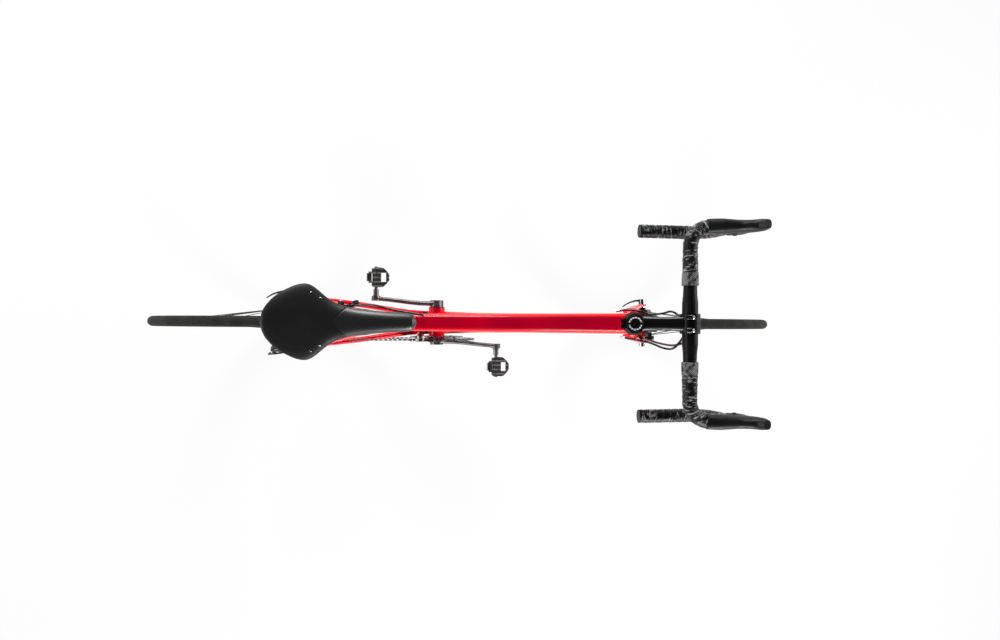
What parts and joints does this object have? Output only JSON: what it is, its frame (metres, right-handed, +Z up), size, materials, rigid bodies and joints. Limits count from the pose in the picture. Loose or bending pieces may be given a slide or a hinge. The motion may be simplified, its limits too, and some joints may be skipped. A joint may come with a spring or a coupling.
{
  "type": "road racing bicycle",
  "caption": "Single-rider road racing bicycle with drop handlebar, derailleur gears, dual pivot rim brakes and clipless pedals.",
  "frame": {"origin": "on the ground, midway between the two wheel axles, in the bicycle's middle plane", "axes": "+X forwards along the bicycle's length, +Y to the rider's left, +Z up"},
  "size_m": [1.661, 0.4388, 0.9575],
  "materials": {
    "frame_paint": "high gloss",
    "black_alloy": "satin anodised",
    "dark_alloy": "polished dark grey",
    "silver_alloy": "polished",
    "steel": "nickel plated",
    "black_rubber": "matte",
    "tyre_rubber": "matte, fine tread",
    "tape": "crinkled gloss wrap",
    "saddle_leather": "fine matte grain",
    "black_plastic": "satin moulded",
    "housing": "gloss sleeve"
  },
  "bodies": {
    "frame": {"head_tube": "frame_paint", "top_tube": "frame_paint", "down_tube": "frame_paint", "seat_tube": "frame_paint", "bottom_bracket_shell": "frame_paint", "chainstays": "frame_paint", "seatstays": "frame_paint", "bearing_cups": "black_alloy", "seat_clamp": "black_alloy", "bottle_bosses": "silver_alloy", "frame_cables": "housing", "chain": "steel", "rear_axle": "steel", "front_derailleur_bracket": "dark_alloy", "rear_derailleur_bracket": "dark_alloy"},
    "seat": {"seatpost": "black_alloy", "saddle_base": "black_plastic", "saddle_cover": "saddle_leather"},
    "fork": {"fork": "frame_paint", "headset": "black_alloy", "stem": "black_alloy", "stem_faceplate": "black_alloy", "handlebar": "black_alloy", "bar_tape": "tape", "brake_hoods": "black_rubber", "steering_cables": "housing", "front_axle": "steel"},
    "front_wheel": {"front_tyre": "tyre_rubber", "front_rim": "black_alloy", "front_spokes": "steel", "front_hub": "black_alloy"},
    "rear_wheel": {"rear_tyre": "tyre_rubber", "rear_rim": "black_alloy", "rear_spokes": "steel", "rear_hub": "black_alloy"},
    "cassette": {"cassette": "steel"},
    "front_quick_release": {"front_qr_lever": "silver_alloy"},
    "rear_quick_release": {"rear_qr_lever": "silver_alloy"},
    "left_brake_lever": {"left_brake_lever": "dark_alloy"},
    "right_brake_lever": {"right_brake_lever": "dark_alloy"},
    "left_shift_paddle": {"left_shift_paddle": "black_plastic"},
    "right_shift_paddle": {"right_shift_paddle": "black_plastic"},
    "front_brake_left_arm": {"front_caliper_left": "dark_alloy"},
    "front_brake_right_arm": {"front_caliper_right": "dark_alloy"},
    "rear_brake_left_arm": {"rear_caliper_left": "dark_alloy"},
    "rear_brake_right_arm": {"rear_caliper_right": "dark_alloy"},
    "crank": {"cranks": "dark_alloy", "chainrings": "dark_alloy"},
    "left_pedal": {"left_pedal": "black_plastic"},
    "right_pedal": {"right_pedal": "black_plastic"},
    "left_pedal_latch": {"left_pedal_latch": "dark_alloy"},
    "right_pedal_latch": {"right_pedal_latch": "dark_alloy"},
    "front_derailleur_link": {"front_derailleur_link": "dark_alloy"},
    "front_derailleur_cage": {"front_derailleur_cage": "steel"},
    "rear_derailleur_outer_link": {"rear_derailleur_outer_link": "dark_alloy"},
    "rear_derailleur_inner_link": {"rear_derailleur_inner_link": "dark_alloy"},
    "rear_derailleur_knuckle": {"rear_derailleur_knuckle": "dark_alloy"},
    "rear_derailleur_cage": {"rear_derailleur_cage": "dark_alloy"},
    "guide_pulley": {"guide_pulley": "black_plastic"},
    "tension_pulley": {"tension_pulley": "black_plastic"}
  },
  "joints": [
    {"name": "steering", "type": "hinge", "parent": "frame", "child": "fork", "pos_m": [0.34241, 0, 0.67954], "axis": [-0.2924, 0, 0.9563], "range_deg": [-60, 60], "deforming": ["steering_cables"]},
    {"name": "front_wheel_spin", "type": "hinge", "parent": "fork", "child": "front_wheel", "pos_m": [0.4945, 0, 0.336], "axis": [0, 1, 0], "continuous": true},
    {"name": "rear_wheel_spin", "type": "hinge", "parent": "frame", "child": "rear_wheel", "pos_m": [-0.4945, 0, 0.336], "axis": [0, 1, 0], "continuous": true},
    {"name": "seatpost_slide", "type": "slide", "parent": "frame", "child": "seat", "axis": [-0.284, 0, 0.9588], "range_m": [-0.06, 0.04]},
    {"name": "front_quick_release_turn", "type": "hinge", "parent": "fork", "child": "front_quick_release", "pos_m": [0.4945, 0.063, 0.336], "axis": [0, 0, -1], "range_deg": [0, 170]},
    {"name": "rear_quick_release_turn", "type": "hinge", "parent": "frame", "child": "rear_quick_release", "pos_m": [-0.4945, 0.078, 0.336], "axis": [0, 0, -1], "range_deg": [0, 170]},
    {"name": "left_brake_lever_squeeze", "type": "hinge", "parent": "fork", "child": "left_brake_lever", "pos_m": [0.50887, 0.197, 0.90849], "axis": [0, 1, 0], "range_deg": [0, 16], "stiffness_Nm_per_rad": 1, "springref_deg": -17.19},
    {"name": "left_shift_paddle_push", "type": "hinge", "parent": "left_brake_lever", "child": "left_shift_paddle", "pos_m": [0.51887, 0.197, 0.87649], "axis": [-1, 0, 0], "range_deg": [0, 20], "stiffness_Nm_per_rad": 0.2, "springref_deg": -11.46},
    {"name": "right_brake_lever_squeeze", "type": "hinge", "parent": "fork", "child": "right_brake_lever", "pos_m": [0.50887, -0.197, 0.90849], "axis": [0, 1, 0], "range_deg": [0, 16], "stiffness_Nm_per_rad": 1, "springref_deg": -17.19},
    {"name": "right_shift_paddle_push", "type": "hinge", "parent": "right_brake_lever", "child": "right_shift_paddle", "pos_m": [0.51887, -0.197, 0.87649], "axis": [1, 0, 0], "range_deg": [0, 20], "stiffness_Nm_per_rad": 0.2, "springref_deg": -11.46},
    {"name": "front_brake_left_arm_turn", "type": "hinge", "parent": "fork", "child": "front_brake_left_arm", "pos_m": [0.34899, 0, 0.65803], "axis": [-0.9563, 0, -0.2924], "range_deg": [0, 2.2]},
    {"name": "front_brake_right_arm_turn", "type": "hinge", "parent": "fork", "child": "front_brake_right_arm", "pos_m": [0.34899, -0.022, 0.65803], "axis": [0.9563, 0, 0.2924], "range_deg": [0, 2.2]},
    {"name": "rear_brake_right_arm_turn", "type": "hinge", "parent": "frame", "child": "rear_brake_right_arm", "pos_m": [-0.30115, 0, 0.63254], "axis": [0.8321, 0, -0.5547], "range_deg": [0, 2.2]},
    {"name": "rear_brake_left_arm_turn", "type": "hinge", "parent": "frame", "child": "rear_brake_left_arm", "pos_m": [-0.30115, 0.022, 0.63254], "axis": [-0.8321, 0, 0.5547], "range_deg": [0, 2.2]},
    {"name": "crank_spin", "type": "hinge", "parent": "frame", "child": "crank", "pos_m": [-0.0956, 0, 0.266], "axis": [0, 1, 0], "continuous": true, "deforming": ["chain"]},
    {"name": "cassette_spin", "type": "hinge", "parent": "frame", "child": "cassette", "pos_m": [-0.4945, 0, 0.336], "axis": [0, 1, 0], "continuous": true},
    {"name": "left_pedal_spin", "type": "hinge", "parent": "crank", "child": "left_pedal", "pos_m": [-0.2681, 0, 0.266], "axis": [0, 1, 0], "continuous": true},
    {"name": "left_pedal_latch_open", "type": "hinge", "parent": "left_pedal", "child": "left_pedal_latch", "pos_m": [-0.2851, 0.1275, 0.269], "axis": [0, -1, 0], "range_deg": [0, 20], "stiffness_Nm_per_rad": 1, "springref_deg": -11.46},
    {"name": "right_pedal_spin", "type": "hinge", "parent": "crank", "child": "right_pedal", "pos_m": [0.0769, 0, 0.266], "axis": [0, 1, 0], "continuous": true},
    {"name": "right_pedal_latch_open", "type": "hinge", "parent": "right_pedal", "child": "right_pedal_latch", "pos_m": [0.0599, -0.1275, 0.269], "axis": [0, -1, 0], "range_deg": [0, 20], "stiffness_Nm_per_rad": 1, "springref_deg": -11.46},
    {"name": "front_derailleur_swing", "type": "hinge", "parent": "frame", "child": "front_derailleur_link", "pos_m": [-0.148, -0.028, 0.385], "axis": [-1, 0, 0], "range_deg": [0, 16]},
    {"name": "front_derailleur_cage_turn", "type": "hinge", "parent": "front_derailleur_link", "child": "front_derailleur_cage", "pos_m": [-0.148, -0.035, 0.411], "axis": [-1, 0, 0], "range_deg": [-16.5, 0.5]},
    {"name": "rear_derailleur_swing", "type": "hinge", "parent": "frame", "child": "rear_derailleur_outer_link", "pos_m": [-0.5377, -0.07894, 0.29259], "axis": [0.2787, 0.5734, 0.7704], "range_deg": [-21.5, 35.5]},
    {"name": "rear_derailleur_inner_link_turn", "type": "hinge", "parent": "frame", "child": "rear_derailleur_inner_link", "pos_m": [-0.54004, -0.06911, 0.28612], "axis": [0.2787, 0.5734, 0.7704], "range_deg": [-22, 36]},
    {"name": "rear_derailleur_knuckle_turn", "type": "hinge", "parent": "rear_derailleur_outer_link", "child": "rear_derailleur_knuckle", "pos_m": [-0.4925, -0.07324, 0.272], "axis": [0.2787, 0.5734, 0.7704], "range_deg": [-36, 22]},
    {"name": "rear_derailleur_cage_swing", "type": "hinge", "parent": "rear_derailleur_knuckle", "child": "rear_derailleur_cage", "pos_m": [-0.4825, -0.04724, 0.26], "axis": [0, 1, 0], "range_deg": [-30, 30], "stiffness_Nm_per_rad": 0.5},
    {"name": "guide_pulley_spin", "type": "hinge", "parent": "rear_derailleur_cage", "child": "guide_pulley", "pos_m": [-0.4825, -0.04724, 0.26], "axis": [0, 1, 0], "continuous": true},
    {"name": "tension_pulley_spin", "type": "hinge", "parent": "rear_derailleur_cage", "child": "tension_pulley", "pos_m": [-0.46477, -0.04724, 0.20688], "axis": [0, 1, 0], "continuous": true}
  ],
  "couplings": [
    {"joint": "front_brake_left_arm_turn", "follows": "right_brake_lever_squeeze", "ratio": 0.12812},
    {"joint": "front_brake_right_arm_turn", "follows": "right_brake_lever_squeeze", "ratio": 0.12812},
    {"joint": "rear_brake_right_arm_turn", "follows": "left_brake_lever_squeeze", "ratio": 0.12812},
    {"joint": "rear_brake_left_arm_turn", "follows": "left_brake_lever_squeeze", "ratio": 0.12812},
    {"joint": "cassette_spin", "follows": "crank_spin", "ratio": 3.4667},
    {"joint": "front_derailleur_cage_turn", "follows": "front_derailleur_swing", "ratio": -1},
    {"joint": "rear_derailleur_inner_link_turn", "follows": "rear_derailleur_swing", "ratio": 1},
    {"joint": "rear_derailleur_knuckle_turn", "follows": "rear_derailleur_swing", "ratio": -1},
    {"joint": "guide_pulley_spin", "follows": "crank_spin", "ratio": -4.7273},
    {"joint": "tension_pulley_spin", "follows": "crank_spin", "ratio": 4.7273}
  ]
}
